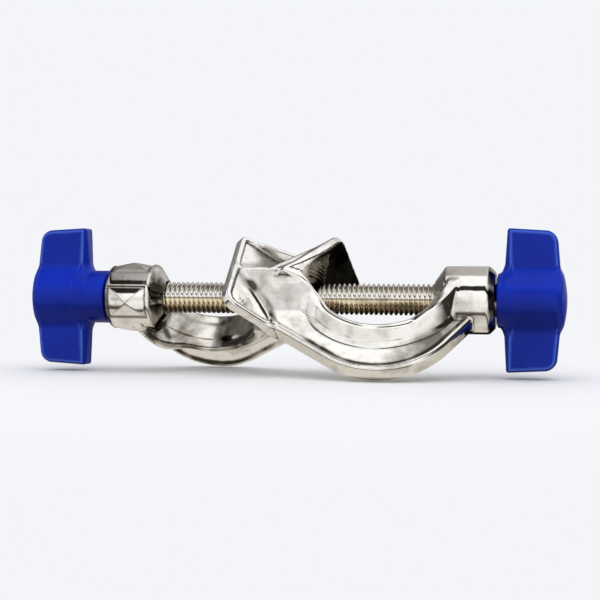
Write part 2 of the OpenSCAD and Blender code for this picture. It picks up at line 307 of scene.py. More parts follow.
# %% Lamp and black card
lamp_data = bpy.data.lights.new("top_lamp", "AREA")
lamp_data.shape = "RECTANGLE"
lamp_data.size, lamp_data.size_y = 0.7, 0.5
lamp_data.energy = 1.05
lamp = bpy.data.objects.new("top_lamp", lamp_data)
lamp.location = (0.05, -0.1, 0.7)
lamp.visible_glossy = False
bpy.context.scene.collection.objects.link(lamp)
card_paint = bpy.data.materials.new("black_paper")
card_paint.use_nodes = True
card_shader = card_paint.node_tree.nodes["Principled BSDF"]
card_shader.inputs["Base Color"].default_value = (0.012, 0.011, 0.009, 1)
card_shader.inputs["Specular IOR Level"].default_value = 0.0
card = lay("black_card", (0.016, 0.008), (0.075, 0.07), 0.0003, card_paint)
card.visible_camera = card.visible_diffuse = card.visible_shadow = False
card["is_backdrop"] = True
print("lamp %.1f m up, card 59 mm by 62 mm" % lamp.location[2])

# %% [markdown]
# ## Materials
# Every finish here starts from a Principled shader, noise that stays fixed to the piece,
# bump worked out from noise, and values that the mesh carries at each point. Noise in
# Object coordinates moves with a screw or a knob, so a finish doesn't swim when it slides.

# %% Material helpers
def blank(name):
    """A new material with its node tree and its Principled shader."""
    paint = bpy.data.materials.new(name)
    paint.use_nodes = True
    return paint, paint.node_tree, paint.node_tree.nodes["Principled BSDF"]


def noise(tree, **values):
    """Noise fixed to the object, as a socket."""
    node = add(tree, "ShaderNodeTexNoise", **values)
    join(tree, add(tree, "ShaderNodeTexCoord"), "Object", node, "Vector")
    return node.outputs[0]


def carried(tree, name):
    """A value that the mesh carries at each point, as a socket."""
    return add(tree, "ShaderNodeAttribute", attribute_name=name).outputs["Fac"]


def bump(tree, height, millimetres, before=None):
    """Bump of this depth from a height, over an earlier bump; returns the normal's socket."""
    node = add(tree, "ShaderNodeBump", Strength=1.0, Distance=millimetres * MM)
    tree.links.new(height, node.inputs["Height"])
    if before is not None:
        tree.links.new(before, node.inputs["Normal"])
    return node.outputs[0]


def shades(colour, *factors):
    """The colour times a factor for all its parts, or one for each."""
    factors = factors * 3 if len(factors) == 1 else factors
    return tuple(c * f for c, f in zip(colour, factors))


def about_screw_line(tree):
    """The object's own x and y, and the height over the screw line, in metres, as sockets."""
    way = add(tree, "ShaderNodeSeparateXYZ")
    join(tree, add(tree, "ShaderNodeTexCoord"), "Object", way, 0)
    x, y, z = way.outputs
    return x, y, sums(tree, "SUBTRACT", z, axis_height * MM)


print("material helpers: blank, noise, carried, bump, shades, about_screw_line")

# %% [markdown]
# ### Nickel plate
# Bright nickel over a die casting is a mirror with faults: slow waves from the polishing
# wheel, fine pits and cloudy films. Waves and pits are bump. The films multiply the colour.
# Painted shade and painted dark reflections darken the colour in three places: painted
# shade in creases, which the mesh marks, painted shade in narrow hollows, which Ambient
# Occlusion finds, and painted dark reflections and shade where the mesh marks them too,
# which a patchy noise breaks up.

# %% Nickel plate
# the colour of painted shade in creases and of the painted dark lines on the left boss
painted_dark_tone = (0.10, 0.09, 0.075)


def dark_reflection_patches(tree):
    """Painted dark reflections and shade where the mesh marks them, broken into patches."""
    patches = noise(tree, Scale=170, Detail=2.0, Roughness=0.45, Distortion=0.6)
    patches = ramp(tree, patches, [(0.34, 0.0), (0.50, 0.42), (0.66, 1.0)])
    share = sums(tree, "MULTIPLY", carried(tree, "tarnish"), sums(tree, "MULTIPLY_ADD", patches, 1.4, 0.3))
    return ramp(tree, share, [(0.0, 1.0), (0.40, (0.56, 0.54, 0.51)), (1.0, (0.085, 0.078, 0.065))])


def hollow_shade(tree, size):
    """Painted shade in hollows up to this many millimetres wide, found by Ambient Occlusion."""
    open_share = add(tree, "ShaderNodeAmbientOcclusion", samples=8, Distance=size * MM).outputs["AO"]
    return ramp(tree, open_share, [(0.30, (0.10, 0.09, 0.08)), (0.62, (0.62, 0.6, 0.57)), (0.85, 1.0)])


def metal(name, colour, rough, waves, pits, hollow_size):
    """A plated metal. Waves and pits are bump depths in millimetres, and hollows up to
    hollow_size millimetres wide get painted shade. The mesh's crease value paints shade into
    the creases, and its matt value dulls the recesses that were left as cast."""
    paint, tree, shader = blank(name)
    shader.inputs["Metallic"].default_value = 1.0
    slow = noise(tree, Scale=210, Detail=2.0, Roughness=0.5)
    fine = noise(tree, Scale=1500, Detail=4.0, Roughness=0.6)
    tree.links.new(bump(tree, fine, pits, bump(tree, slow, waves)), shader.inputs["Normal"])
    specks = noise(tree, Scale=420, Detail=5.0, Roughness=0.65)
    clouds = noise(tree, Scale=125, Detail=3.0, Roughness=0.55)
    plate = tint(tree, ramp(tree, specks, [(0.34, shades(colour, 0.88)), (0.46, colour)]),
                 ramp(tree, clouds, [(0.36, (0.66, 0.645, 0.62)), (0.50, 1.0)]))
    # painted dark reflections and shade where the mesh marks them, then painted shade in hollows
    plate = tint(tree, tint(tree, plate, dark_reflection_patches(tree)), hollow_shade(tree, hollow_size))
    # painted shade in the creases that the mesh marks
    plate = blend(tree, carried(tree, "crease"), plate, shades(colour, *painted_dark_tone))
    tree.links.new(plate, shader.inputs["Base Color"])
    dull = ramp(tree, fine, [(0.35, rough * 0.7), (0.75, rough * 2.0)])
    dull = sums(tree, "MULTIPLY_ADD", carried(tree, "matt"), 0.30, dull)
    tree.links.new(dull, shader.inputs["Roughness"])
    return paint


nickel = metal("nickel_plate", (0.955, 0.945, 0.925), 0.035, 0.045, 0.0008, 1.6)
print("nickel plate of %d nodes" % len(nickel.node_tree.nodes))

# %% [markdown]
# ### Ridge lines of the left boss
# Four low pyramids are cast round the left boss, and their ridges and borders get thin
# painted dark lines, which stand in for the reflection and shade along these edges. Lines
# this thin would need a very fine mesh. So the shader works out, for each spot, the share of
# the way to a pyramid's end and to its side: a ridge is where the two shares are equal, and
# a border is where the larger is just past 1.

# %% Ridge lines of the left boss
left_reach = 34.9
pyramid_middle, pyramid_half = 5.8, 4.9
pyramid_turn, pyramid_angle = math.radians(8), math.radians(28.5)


def ridges(paint):
    """Painted dark lines for reflection and shade on the pyramids: equal shares, or the larger share within
    0.03 of 1.03.
    """
    tree = paint.node_tree
    colour_input = tree.nodes["Principled BSDF"].inputs["Base Color"]
    x, y, upright = about_screw_line(tree)
    angle = sums(tree, "ARCTAN2", upright, sums(tree, "MULTIPLY", y, -1.0))
    angle = sums(tree, "WRAP", sums(tree, "ADD", angle, pyramid_turn), math.pi / 4, -math.pi / 4)
    sides = sums(tree, "MULTIPLY", sums(tree, "ABSOLUTE", angle), 1 / pyramid_angle)
    middle = (left_reach + pyramid_middle) / pyramid_half
    ends = sums(tree, "ABSOLUTE", sums(tree, "MULTIPLY_ADD", x, -1 / (pyramid_half * MM), -middle))
    far = sums(tree, "MAXIMUM", ends, sides)
    apart = sums(tree, "ABSOLUTE", sums(tree, "SUBTRACT", ends, sides))
    ridge = sums(tree, "MULTIPLY", sums(tree, "LESS_THAN", apart, 0.028), sums(tree, "LESS_THAN", far, 1.0))
    past = sums(tree, "ABSOLUTE", sums(tree, "SUBTRACT", far, 1.03))
    line = sums(tree, "MAXIMUM", ridge, sums(tree, "LESS_THAN", past, 0.03))
    line = sums(tree, "MULTIPLY", line, 0.72)
    plate = colour_input.links[0].from_socket
    tree.links.new(blend(tree, line, plate, painted_dark_tone), colour_input)


ridges(nickel)
print("nickel plate of %d nodes with its ridge lines" % len(nickel.node_tree.nodes))

# %% [markdown]
# ### Screw metal
# A rolled thread is duller than the casting. The same plate is used with shallower waves,
# and its colour is multiplied by a ramp over the height that paints its reflections: dark
# at the foot, gold above it, a thin dark line, a white band of painted highlight, and grey
# on top.

# %% Screw metal
def screw_metal():
    """Nickel times bands of painted reflection, over a height from 4 mm below the line to 4 mm above."""
    paint = metal("screw_nickel", (0.95, 0.93, 0.89), 0.16, 0.006, 0.002, 0.35)
    tree = paint.node_tree
    colour_input = tree.nodes["Principled BSDF"].inputs["Base Color"]
    share = sums(tree, "MULTIPLY_ADD", about_screw_line(tree)[2], 1 / (8 * MM), 0.5)
    # painted reflections: dark foot, gold, a dark line, a white painted highlight, grey top
    painted_reflection_bands = ramp(tree, share, [
        (0.02, (0.10, 0.08, 0.06)), (0.19, (0.26, 0.21, 0.14)), (0.27, (0.78, 0.66, 0.46)),
        (0.47, (0.95, 0.84, 0.64)), (0.508, (0.32, 0.28, 0.22)), (0.528, (0.38, 0.34, 0.28)),
        (0.556, 1.0), (0.69, 1.0), (0.74, (0.60, 0.57, 0.52)), (0.95, (0.62, 0.60, 0.56))])
    tree.links.new(tint(tree, colour_input.links[0].from_socket, painted_reflection_bands), colour_input)
    return paint


thread_metal = screw_metal()
print("screw metal of %d nodes" % len(thread_metal.node_tree.nodes))

# %% [markdown]
# ### Blue plastic
# The knobs are moulded in one deep royal blue with a satin gloss. The mould's fine grain
# is bump. A painted highlight lifts the blue on surfaces that lean up, as light from above
# would, and the softened edges of the wings, which the mesh marks, get a painted highlight
# of paler blue.

# %% Blue plastic
def moulded(name, colour, edge_highlight_colour, rough):
    """A moulded plastic with a soft gloss and a fine sparkle of grain, a painted highlight on
    surfaces that lean up and a painted highlight of the given paler colour on marked edges.
    """
    paint, tree, shader = blank(name)
    grain = noise(tree, Scale=2600, Detail=3.0, Roughness=0.7)
    cloud = noise(tree, Scale=90, Detail=2.0, Roughness=0.5)
    tree.links.new(bump(tree, grain, 0.004), shader.inputs["Normal"])
    shader.inputs["Specular IOR Level"].default_value = 0.16
    shade = ramp(tree, cloud, [(0.3, shades(colour, 0.86)), (0.7, shades(colour, 1.12))])
    lean = add(tree, "ShaderNodeSeparateXYZ")
    join(tree, add(tree, "ShaderNodeNewGeometry"), "Normal", lean, 0)
    lean_up = sums(tree, "MULTIPLY_ADD", lean.outputs[2], 0.5, 0.5)
    # painted highlight on surfaces that lean up, as light from above would give
    painted_top_light = ramp(tree, lean_up, [(0.0, 0.40), (0.30, 0.55), (0.44, 0.85), (0.52, 0.95), (0.62, 1.1),
                                 (0.76, 1.45), (0.88, 1.15), (1.0, 0.95)])
    # painted highlight in a paler blue on the edges that the mesh marks
    shade = blend(tree, carried(tree, "edge"), tint(tree, shade, painted_top_light), edge_highlight_colour)
    tree.links.new(shade, shader.inputs["Base Color"])
    dull = ramp(tree, grain, [(0.3, rough * 0.85), (0.7, rough * 1.2)])
    tree.links.new(dull, shader.inputs["Roughness"])
    return paint


blue = moulded("royal_blue_plastic", (0.001, 0.018, 0.33), (0.06, 0.14, 0.60), 0.27)
print("blue plastic of %d nodes" % len(blue.node_tree.nodes))

# %% [markdown]
# ## A skin over a formula
# The casting is one lump of metal in which every inner corner is filled. That is hard to
# build from faces, but easy as a distance: a function that is negative in the metal,
# positive in the air and zero on the surface. Two distances are joined with a fillet by
# one short formula. At the end the zero surface is meshed once, on a fine grid of cells.

# %% Joining distances
HALF = math.sqrt(0.5)


def fillet(a, b, radius):
    """Both solids, their inner corner filled: the larger of radius and min(a, b), less the
    length of (radius - a, radius - b) where these are positive."""
    corner = np.hypot(np.maximum(radius - a, 0), np.maximum(radius - b, 0))
    return np.maximum(np.minimum(a, b), radius) - corner


def shared(a, b, radius):
    """What both solids share, the outer edge between them rounded: the smaller of -radius and
    max(a, b), plus the length of (radius + a, radius + b) where these are positive."""
    corner = np.hypot(np.maximum(radius + a, 0), np.maximum(radius + b, 0))
    return np.minimum(np.maximum(a, b), -radius) + corner


def ease(t):
    """0 below 0, 1 above 1, and 3 t squared less 2 t cubed between."""
    t = np.clip(t, 0, 1)
    return t * t * (3 - 2 * t)


print("helpers: fillet, shared, ease")

# %% [markdown]
# ### A net over the zero surface
# Blender could remesh a rough lump, but it would not know the formula. A surface net does.
# Wherever the distance changes sign between two neighbours on the grid, the surface crosses
# that grid edge. Each crossed edge gets a four-sided face, whose corners are one point in
# each of the four cells round the edge.

# %% Surface net
def cell_ids(shape, i, j, k):
    """One number per cell of the grid."""
    return (i * (shape[1] - 1) + j) * (shape[2] - 1) + k


def net(values, low, cell):
    """Surface net: a point in each cell that the surface crosses, at the mean of where it
    crosses the cell's edges, and a four-sided face round each crossed edge."""
    inside = values < 0
    owners, places, quads, flips = [], [], [], []
    for axis in range(3):
        first, second = [slice(None)] * 3, [slice(None)] * 3
        first[axis], second[axis] = slice(0, -1), slice(1, None)
        first, second = tuple(first), tuple(second)
        crossed = np.argwhere(inside[first] != inside[second])
        at = tuple(crossed.T)
        a, b = values[first][at], values[second][at]
        point = crossed.astype(np.float64)
        point[:, axis] += a / (a - b)
        one, two = [n for n in range(3) if n != axis]
        ring = []
        for back_one, back_two in ((1, 1), (0, 1), (0, 0), (1, 0)):
            index = crossed.copy()
            index[:, one] -= back_one
            index[:, two] -= back_two
            ring.append(cell_ids(values.shape, *index.T))
            owners.append(ring[-1])
            places.append(point)
        quads.append(np.stack(ring, axis=1))
        outward = inside[first][at]
        flips.append(~outward if axis != 1 else outward)
    owners, places = np.concatenate(owners), np.concatenate(places)
    cells, slot = np.unique(owners, return_inverse=True)
    count = np.bincount(slot)
    points = np.stack([np.bincount(slot, places[:, n]) / count for n in range(3)], axis=1)
    faces = np.searchsorted(cells, np.concatenate(quads))
    flip = np.concatenate(flips)
    faces[flip] = faces[flip][:, ::-1]
    return points * cell + low, faces


print("helper: net")

# %% [markdown]
# ### Settle on the surface
# The net's points lie near the surface, not on it, and some faces are slivers. So each
# point moves towards its neighbours' mean, which evens the faces out, and then back along
# the distance's slope to the zero surface. The same slope gives the shading normals, and
# how fast it changes tells an outer edge from a hollow.

# %% Settle on the surface
def slope(field, points, step=0.02):
    """The distance's gradient at each point, from differences a small step apart, and the
    sum of its bending: above 0 on an outer edge, below 0 in a hollow."""
    parts, bend = [], -6 * field(*points.T)
    for axis in range(3):
        shift = np.zeros(3)
        shift[axis] = step
        after, before = field(*(points + shift).T), field(*(points - shift).T)
        parts.append((after - before) / (2 * step))
        bend = bend + after + before
    return np.stack(parts, axis=1), bend / step ** 2


def settle(field, points, most):
    """Move each point along the gradient by distance over steepness, by at most this much."""
    grade = slope(field, points)[0]
    move = field(*points.T)[:, None] * grade / np.maximum((grade ** 2).sum(1, keepdims=True), 0.04)
    length = np.linalg.norm(move, axis=1, keepdims=True)
    return points - move * np.minimum(1, most / np.maximum(length, 1e-9))


def relax(points, faces, share=0.5):
    """Move each point part of the way to the mean of its neighbours."""
    ends = np.concatenate([faces[:, [n, (n + 1) % 4]] for n in range(4)])
    count = np.maximum(np.bincount(ends[:, 0], minlength=len(points)), 1)
    totals = [np.bincount(ends[:, 0], points[ends[:, 1], n], len(points)) for n in range(3)]
    return points + share * (np.stack(totals, axis=1) / count[:, None] - points)


def skin(field, low, high, cell):
    """The zero surface of a distance inside a box, as points and four-sided faces. The
    distance is worked out sixteen layers of the grid at a time, to save memory."""
    axes = [np.arange(a - 2 * cell, b + 3 * cell, cell) for a, b in zip(low, high)]
    values = np.empty([len(a) for a in axes])
    for start in range(0, len(axes[0]), 16):
        layers = slice(start, start + 16)
        values[layers] = field(*np.meshgrid(axes[0][layers], axes[1], axes[2], indexing="ij"))
    points, faces = net(values, np.array([a[0] for a in axes]), cell)
    for _ in range(3):
        points = settle(field, relax(points, faces), cell)
    return settle(field, points, cell), faces


print("helpers: slope, settle, relax, skin")

# %% [markdown]
# ### From arrays to a piece
# A finished piece stands at the origin with its place in its mesh, as the CAD nodes do. It
# rides on a body of the motion model and replaces one CAD node. Its normals could be worked
# out from its faces, but the formula's own are smoother, so they are written into the mesh.

# %% Make a piece
def unit(vectors):
    """Each vector divided by its length."""
    return vectors / np.maximum(np.linalg.norm(vectors, axis=1, keepdims=True), 1e-9)


def half_turn(points):
    """The same shape on the other side: half a turn about the upright through the crossing."""
    return points * np.array([-1, -1, 1])


def make(name, points, faces, normals, paint, body, slot, replaced, **values):
    """Turn millimetres about the screw line into a smooth mesh in the frame's metres. Each
    value is one number per point that the material reads by its name."""
    mesh = bpy.data.meshes.new(name)
    placed = (points + np.array([0, 0, axis_height])) * MM
    mesh.from_pydata(placed.tolist(), [], faces)
    mesh.polygons.foreach_set("use_smooth", np.ones(len(mesh.polygons), bool))
    for label, numbers in values.items():
        mesh.attributes.new(label, "FLOAT", "POINT").data.foreach_set("value", numbers.astype(np.float32))
    mesh.materials.append(paint)
    mesh.update()
    mesh.normals_split_custom_set_from_vertices(normals.tolist())
    piece = bpy.data.objects.new(name, mesh)
    bpy.context.scene.collection.objects.link(piece)
    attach(piece, body)
    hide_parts(replaced)
    size = (placed.max(0) - placed.min(0)) / MM
    print("%s: %d faces, %.1f x %.1f x %.1f mm" % (name, len(faces), *size))


print("helpers: unit, half_turn, make")

# %% [markdown]
# ## The casting
# Each hook is described hanging straight down, as a pattern maker would draw it: the screw
# along x, the jaw up, the arm down. A point of the clamp is turned into each hook's own
# frame, and the two hooks and the block in which they cross are joined. So one set of
# formulas serves both hooks, and the few sizes that differ are held by each hook.

# %% Sizes of the casting
vee, block_half = 4.35, 8.1
soft_edge, crisp_edge = 0.6, 0.3
right_hook = dict(long=17.4, rib_root=2.3, rib_slope=34.4, reach=39.9, arm_x=24.1,
                  throat_r=17.3, outer_r=20.6, chamfer=1.5)
left_hook = dict(long=14.6, rib_root=4.6, rib_slope=27.0, reach=left_reach, arm_x=21.6,
                 throat_r=16.4, outer_r=16.2, chamfer=0.0)


def both_hooks(x, y, z):
    """Each hook with the point in its own frame: an eighth of a turn about the screw line,
    and for the left hook also half a turn end for end."""
    return ((right_hook, x, (y - z) * HALF, (y + z) * HALF),
            (left_hook, -x, -(y + z) * HALF, (z - y) * HALF))


print("hooks reach %.1f and %.1f mm" % (right_hook["reach"], left_hook["reach"]))

# %% [markdown]
# ### Block, jaws and ribs
# The jaw is the straight upper lip of a hook: a plate that leans back at 45 degrees, with a
# rim round a sunk panel on its back. A thin rib ties its far end to the block. They could
# be drawn as outlines and thickened, but as distances they share one way of rounding.

# %% Jaws
block_reach, block_edge = 12.4, 0.5
jaw_half, jaw_thick, jaw_edge, jaw_short, jaw_corner = 11.5, 2.35, 2.9, 13.6, 1.9
rim, panel_depth, panel_slope = 1.0, 0.55, 0.8
rib_width, rib_round, rib_short, rib_back = 1.1, 0.45, 1.2, 4.5


def through_jaw(hx, hz):
    """Depth behind the face on which a rod rests, across the jaw's plate."""
    return (vee - hx + hz) * HALF


def block(x, y, z):
    """A box with rounded edges: the length of what lies outside a box that is smaller by
    the rounding, less the rounding."""
    halves = ((x, block_reach), (y, block_half), (z, block_half))
    out = [np.abs(p) - half + block_edge for p, half in halves]
    length = np.sqrt(sum(np.maximum(o, 0) ** 2 for o in out))
    return length + np.minimum(np.maximum(np.maximum(*out[:2]), out[2]), 0) - block_edge


def jaw(hook, x, y, z):
    """A plate at 45 degrees with rounded corners: what the outline, the resting face and
    the back share. The back sinks by the panel's depth, eased in behind the rim, and the
    tip slants from one side to the other."""
    along, through = (x - vee + z) * HALF, through_jaw(x, z)
    slant = hook["long"] - jaw_short
    tip = (along - jaw_short) * 2 * jaw_half - (y + jaw_half) * slant
    tip = tip / math.hypot(2 * jaw_half, slant)
    outline = shared(tip, np.abs(y) - jaw_half, jaw_corner * (1 + ease((y + 6) / 12)))
    back = jaw_thick + (jaw_edge - jaw_thick) * (along + jaw_thick) / (hook["long"] + jaw_thick)
    sunk = ease((-outline - rim) / panel_slope)
    plate = shared(through - back + panel_depth * sunk, outline, soft_edge)
    return np.maximum(shared(plate, -through, 0.35), -z - 1)


def rib(hook, x, y, z):
    """The thin rib that ties the jaw's upper end to the crossing: a wall below a sloping
    line, cut off at the jaw's face, flush with the block, and at both its ends."""
    along, through = (x - vee + z) * HALF, through_jaw(x, z)
    angle = math.radians(hook["rib_slope"])
    line = (z - hook["rib_root"] - x * math.tan(angle)) * math.cos(angle)
    ridge = shared(np.abs(y + jaw_half - rib_width / 2) - rib_width / 2, line, rib_round)
    flush = -(y + z) * HALF - block_half + 0.35
    ends = np.maximum(along - jaw_short + rib_short, -rib_back - x)
    return shared(ridge, np.maximum(np.maximum(-through, flush), ends), crisp_edge)


print("jaws %.0f mm wide, %.1f mm thick" % (2 * jaw_half, jaw_thick))

# %% [markdown]
# ### Arm
# The arm is the hooked lower half: a flange on which the rod rests, a thin web and a bead
# along the outer edge. Two distances in the side view describe both its edges, the depth
# below the throat and the distance outside the arm, and the section is built from those.

# %% Arm's two edges
throat_depth, arm_depth, wall_straight = 13.1, 24.6, 6.5
run_in = math.radians(54)


def below_throat(hook, x, z):
    """Depth below the surface that a rod meets: beyond the throat's centre the distance
    outside its circle, and before it the depth of the vee's straight lower wall, eased by
    the step between the two so that they meet."""
    centre_z = hook["throat_r"] - throat_depth
    dx, dz = x - hook["arm_x"], z - centre_z
    wall = (vee - x - z) * HALF
    step = (hook["arm_x"] + centre_z - vee) * HALF - hook["throat_r"]
    start = (hook["arm_x"] - vee - centre_z) * HALF
    eased = wall + step * ease(((x - vee - z) * HALF - wall_straight) / (start - wall_straight))
    return np.where((dx - dz) < 0, eased, np.hypot(dx, dz) - hook["throat_r"])


def outside_arm(hook, x, z):
    """Distance outside the arm's outer edge: outside a circle between two angles, and
    elsewhere outside the circle's two tangents, one to the block and one to the boss."""
    radius = hook["outer_r"]
    centre = (hook["arm_x"], radius - arm_depth)
    gap = (centre[0] + block_half / 4, centre[1] + block_half * math.sqrt(2))
    first = math.atan2(gap[1], gap[0]) - math.asin(radius / math.hypot(*gap)) - math.pi / 2
    last = run_in - math.pi / 2
    dx, dz = x - centre[0], z - centre[1]
    angle = np.arctan2(dz, dx)
    runs = np.maximum(*(dx * math.cos(a) + dz * math.sin(a) for a in (first, last)))
    return np.where((angle > first) & (angle < last), np.hypot(dx, dz), runs) - radius


print("throats of radius %.1f and %.1f mm" % (right_hook["throat_r"], left_hook["throat_r"]))

# %% [markdown]
# ### Arm's section
# Across the arm the section is a letter I whose upper bar is the flange. The flange's
# underside slopes, so that the casting can leave its mould, and the flange widens near
# the boss, so that it wraps the barrel. The three parts are filleted together.

# %% Arm's section
flange_half, flange_edge, flange_root, flange_before = 5.8, 1.5, 4.3, 5.8
web_half, bead_half, bead_thick, bead_round = 2.0, 2.5, 1.4, 0.9
arm_top, arm_back = 0.5, 2
flare_from, flare_run, flare_half, flare_edge, flare_root = 8, 8.5, 2.75, 1.0, 0.3


def arm(hook, x, y, z):
    """Flange round the throat, web, and bead along the outer edge, each what its two edges
    and its half width share. The flange's half width and thickness grow by an eased share
    of the way to the boss, so that its edge wraps the barrel and stops in a rounded end."""
    depth, outer, side = below_throat(hook, x, z), outside_arm(hook, x, z), np.abs(y)
    start = shared(z + arm_top, -x - arm_back, 1.0)
    web = np.maximum(shared(np.maximum(-depth, outer), side - web_half, soft_edge), start)
    bead = shared(shared(outer, -outer - bead_thick, soft_edge), side - bead_half, bead_round)
    bead = shared(np.maximum(bead, -x - arm_back), z + block_half, soft_edge)
    flare = ease((x - hook["reach"] + flare_from) / flare_run)
    half, edge = flange_half + flare_half * flare, flange_edge + flare_edge * flare
    root = flange_root + flare_root * flare
    run, fall = root - edge, half - web_half
    bevel = ((depth - edge) * fall + (side - half) * run) / np.hypot(run, fall)
    flange = shared(shared(-depth, side - half, 0.5), bevel, soft_edge)
    flange = shared(flange, depth - root, crisp_edge)
    begin = (hook["arm_x"] - vee - hook["throat_r"] + throat_depth) * HALF - flange_before
    flange = np.maximum(flange, begin - (x - vee - z) * HALF)
    flange = shared(flange, z + arm_top, 1.2)
    return fillet(fillet(web, bead, 0.5), flange, 1.4)


print("flange %.1f mm wide, web %.1f mm" % (2 * flange_half, 2 * web_half))

# %% [markdown]
# ### Bosses
# A boss is the barrel that the screw runs through. Both narrow in a cone inside the throat.
# The right one ends in a chamfer and the left one in a round edge, and four low pyramids
# stand round the left one. A pyramid is a height added to the barrel's radius.

# %% Bosses
boss_radius, boss_len, cone_len, cone_radius = 8.4, 12.0, 3.1, 4.4
pyramid_rise, pyramid_border = 0.55, 1.04


def boss(hook, x, y, z, front):
    """What a cylinder, a cone in the throat and two end planes share. The cone narrows to a
    thin collar round the screw. front is the angle round the screw line from the front."""
    rho, a = np.hypot(y, z), x - hook["reach"]
    radius = boss_radius if hook["chamfer"] else boss_radius + pyramids(a, front)
    cone = -(a + cone_len) * (boss_radius - cone_radius) + (rho - cone_radius) * (cone_len - 0.3)
    cone = cone / math.hypot(boss_radius - cone_radius, cone_len - 0.3)
    barrel = shared(shared(rho - radius, cone, 0.35), -a - cone_len, 0.2)
    if hook["chamfer"]:
        bevel = (rho - boss_radius + a - boss_len + hook["chamfer"]) * HALF
        return shared(shared(barrel, bevel, crisp_edge), a - boss_len, 0.25)
    return shared(barrel, a - boss_len, 2.0)


def pyramids(a, front):
    """Height of the four low pyramids round the left boss: the rise less the larger of the
    shares of the way to an end and to a side, so the edges lie a little below the barrel."""
    turn = np.mod(front + pyramid_turn + math.pi / 4, math.pi / 2) - math.pi / 4
    edge = np.maximum(np.abs(a - pyramid_middle) / pyramid_half, np.abs(turn) / pyramid_angle)
    height = np.where(edge < pyramid_border, pyramid_rise - edge, 0)
    return height * ease((pyramid_border - edge) / 0.03)


print("bosses %.1f mm across, %.1f mm long" % (2 * boss_radius, boss_len + cone_len))

# %% [markdown]
# ### Lead-in of a vee
# Where a vee runs out at the block's upper corner, two flat facets are cut that meet in a
# valley, so that a rod finds its way in. Each facet is a plane through three points, and a
# plane's distance is one product, which is far easier than cutting faces.

# %% Lead-in of a vee
lead_in, lead_back, lead_reach, far_off = 1.4, 3.0, 10.5, 99.0


def facet(x, y, z, a, b, c):
    """Height above the plane through three points: the way from a, times the unit normal."""
    a, b, c = (np.array(p, float) for p in (a, b, c))
    up = np.cross(b - a, c - a)
    up /= np.linalg.norm(up)
    return (x - a[0]) * up[0] + (y - a[1]) * up[1] + (z - a[2]) * up[2]


def lead(x, y, z):
    """The notch at a vee's upper end: what lies beyond two facets that meet in a valley."""
    corner = block_half * math.sqrt(2)
    top, low = (vee - lead_back, -corner, 0), (vee, lead_in - corner, 0)
    high_end = (vee + block_half - 1, -corner, block_half - 1)
    low_end = (vee + block_half / 2.7, block_half / 2.7 - corner, -block_half / 2.7)
    notch = np.maximum(-facet(x, y, z, top, low, high_end), -facet(x, y, z, top, low_end, low))
    return np.where(np.hypot(x - vee, z) < lead_reach, notch, far_off)


print("lead-in %.1f mm deep" % lead_in)

# %% [markdown]
# ### The whole casting
# The order matters. The solid parts are joined first, each with its own fillet. Then the
# vees and throats are cut, so that no fillet fills the rods' seats. The bosses, which
# reach into the throats, come next, and their bores come last.

# %% The whole casting
jaw_fillet, rib_fillet, arm_fillet, boss_fillet = 1.9, 0.5, 2.2, 0.7
throat_round, bore_radius = 0.55, 4.0


def casting(x, y, z):
    """Block, jaws, ribs and arms joined with fillets, then what they share with all that
    isn't air in the two vees and throats, then the bosses, and what isn't bore."""
    hooks = both_hooks(x, y, z)
    solid = block(x, y, z)
    for part, radius in ((jaw, jaw_fillet), (rib, rib_fillet), (arm, arm_fillet)):
        for hook, *at in hooks:
            solid = fillet(solid, part(hook, *at), radius)
    for hook, hx, hy, hz in hooks:
        lower = np.where(hx > 0, below_throat(hook, hx, hz), far_off)
        upper = np.where(hx > 0, through_jaw(hx, hz), far_off)
        air = np.minimum(np.maximum(lower, upper), lead(hx, hy, hz))
        solid = shared(solid, -air, throat_round)
    front = np.arctan2(z, -y)
    for hook, *at in hooks:
        solid = fillet(solid, boss(hook, *at, front), boss_fillet)
    for hook, hx, hy, hz in hooks:
        bore = np.maximum(np.hypot(hy, hz) - bore_radius, hook["reach"] - boss_radius - hx)
        solid = shared(solid, -bore, crisp_edge)
    return solid


print("depth of metal at the crossing %.1f mm" % -casting(*np.zeros((3, 1)))[0])

# %% [markdown]
# ### Where the plate is dull or dark
# The finish follows the shape: panels that no wheel reaches stay matt, and painted dark
# reflections and shade darken the plate where the metal mirrors dark things and lies in
# shade. These could be painted on a picture wrapped round the mesh. As functions of place
# they need no picture, and each becomes one number per point that the nickel reads.

# %% Dull and dark places
def matt(x, y, z):
    """1 in the sunk panels on the jaws' backs, 0 elsewhere: inside the rim across the jaw,
    behind its plate, and eased in over 3 mm of height."""
    dull = np.zeros_like(x)
    for hook, hx, hy, hz in both_hooks(x, y, z):
        through = through_jaw(hx, hz)
        inside = ease((jaw_half - 0.9 - np.abs(hy)) / 0.8) * ((through > 1.2) & (through < 4))
        dull = np.maximum(dull, inside * ease((z - 1) / 3))
    return dull


def left_painted_dark(y, hx, hy, hz, depth):
    """The left hook's own painted dark reflections and shade: a band on its jaw beside the
    front panel, and its throat, less a bell curve that leaves a brighter gap. Both are
    products of eased steps."""
    through = through_jaw(hx, hz)
    band = ease((through - 2.9) / 0.3) * ease((5.0 - through) / 1.5) * ease((hy - 1.5) / 2)
    band = 1.5 * band * ease((-7.6 - y) / 0.3) * ease((hx - 1) / 1.5)
    patch = 0.70 - 0.55 * np.exp(-((hx - 23.5) / 2.4) ** 2)
    patch = patch * ease((hx - 7) / 4) * ease((-hz - 2) / 3) * ease((1.8 - depth) / 0.8)
    return band, patch


def right_painted_dark(hx, hz, depth, outer):
    """The right hook's own painted dark reflections: its vee's wall, and the web near the arm's
    end. Both are products of eased steps."""
    band = 0.75 * ease((0.5 - np.abs(through_jaw(hx, hz))) / 0.3)
    band = band * ease((hz - 0.5) / 1.5) * ease(hx - 4)
    patch = 0.5 * ease((hx - 26) / 6) * ease((-hz - 3) / 3)
    patch = patch * ease((-1.2 - outer) / 0.5) * ease((depth - 3) / 2)
    return band, patch


